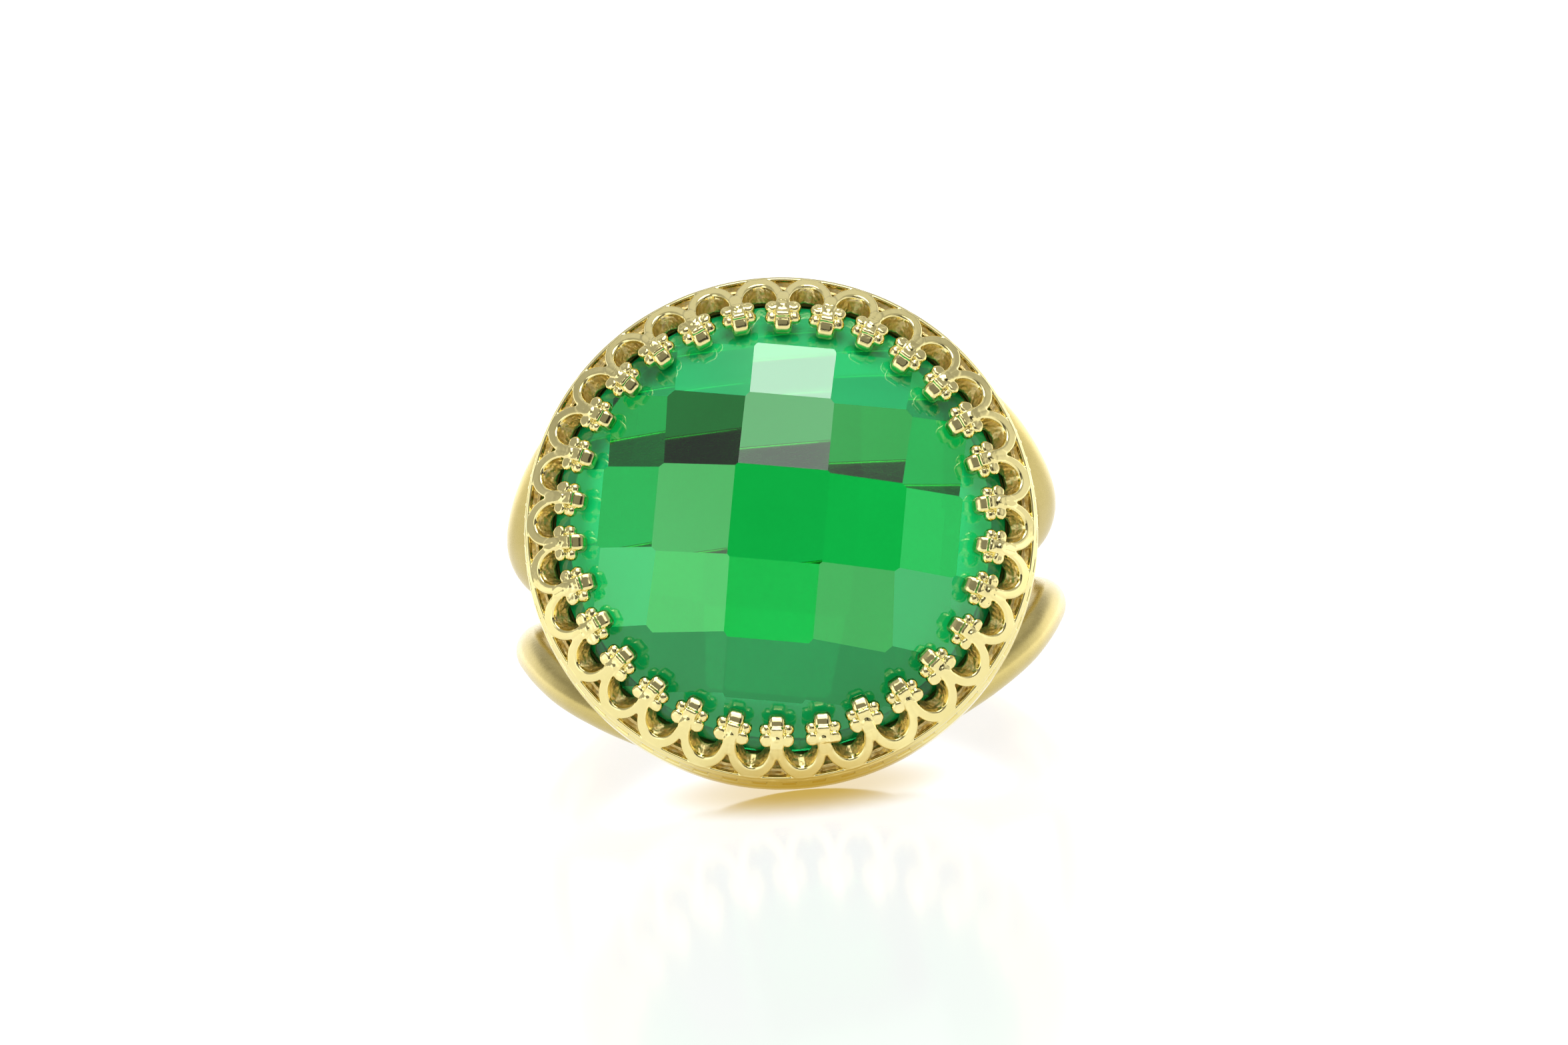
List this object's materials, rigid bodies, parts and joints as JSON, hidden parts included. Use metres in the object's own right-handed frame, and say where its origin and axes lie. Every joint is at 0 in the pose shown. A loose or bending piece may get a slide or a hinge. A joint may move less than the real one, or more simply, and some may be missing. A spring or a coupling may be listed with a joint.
{
  "type": "cocktail ring",
  "caption": "Cocktail ring with a split half-round shank and a lace gallery head that holds a large round checkerboard-cut green stone.",
  "frame": {"origin": "centre of the finger hole, on its axis, midway between the two bands", "axes": "+Y along the finger hole, +Z from the finger hole up to the stone, +X across the hand"},
  "size_m": [0.0204, 0.0184, 0.0245],
  "materials": {
    "green_stone": "polished, transparent",
    "cast_gold": "polished casting",
    "satin_gold": "satin"
  },
  "bodies": {
    "root": {"stone": "green_stone", "crown_gallery": "cast_gold", "bearing_band": "cast_gold", "base_ring": "cast_gold", "shank_band_front": "satin_gold", "shank_band_rear": "satin_gold"}
  },
  "joints": []
}
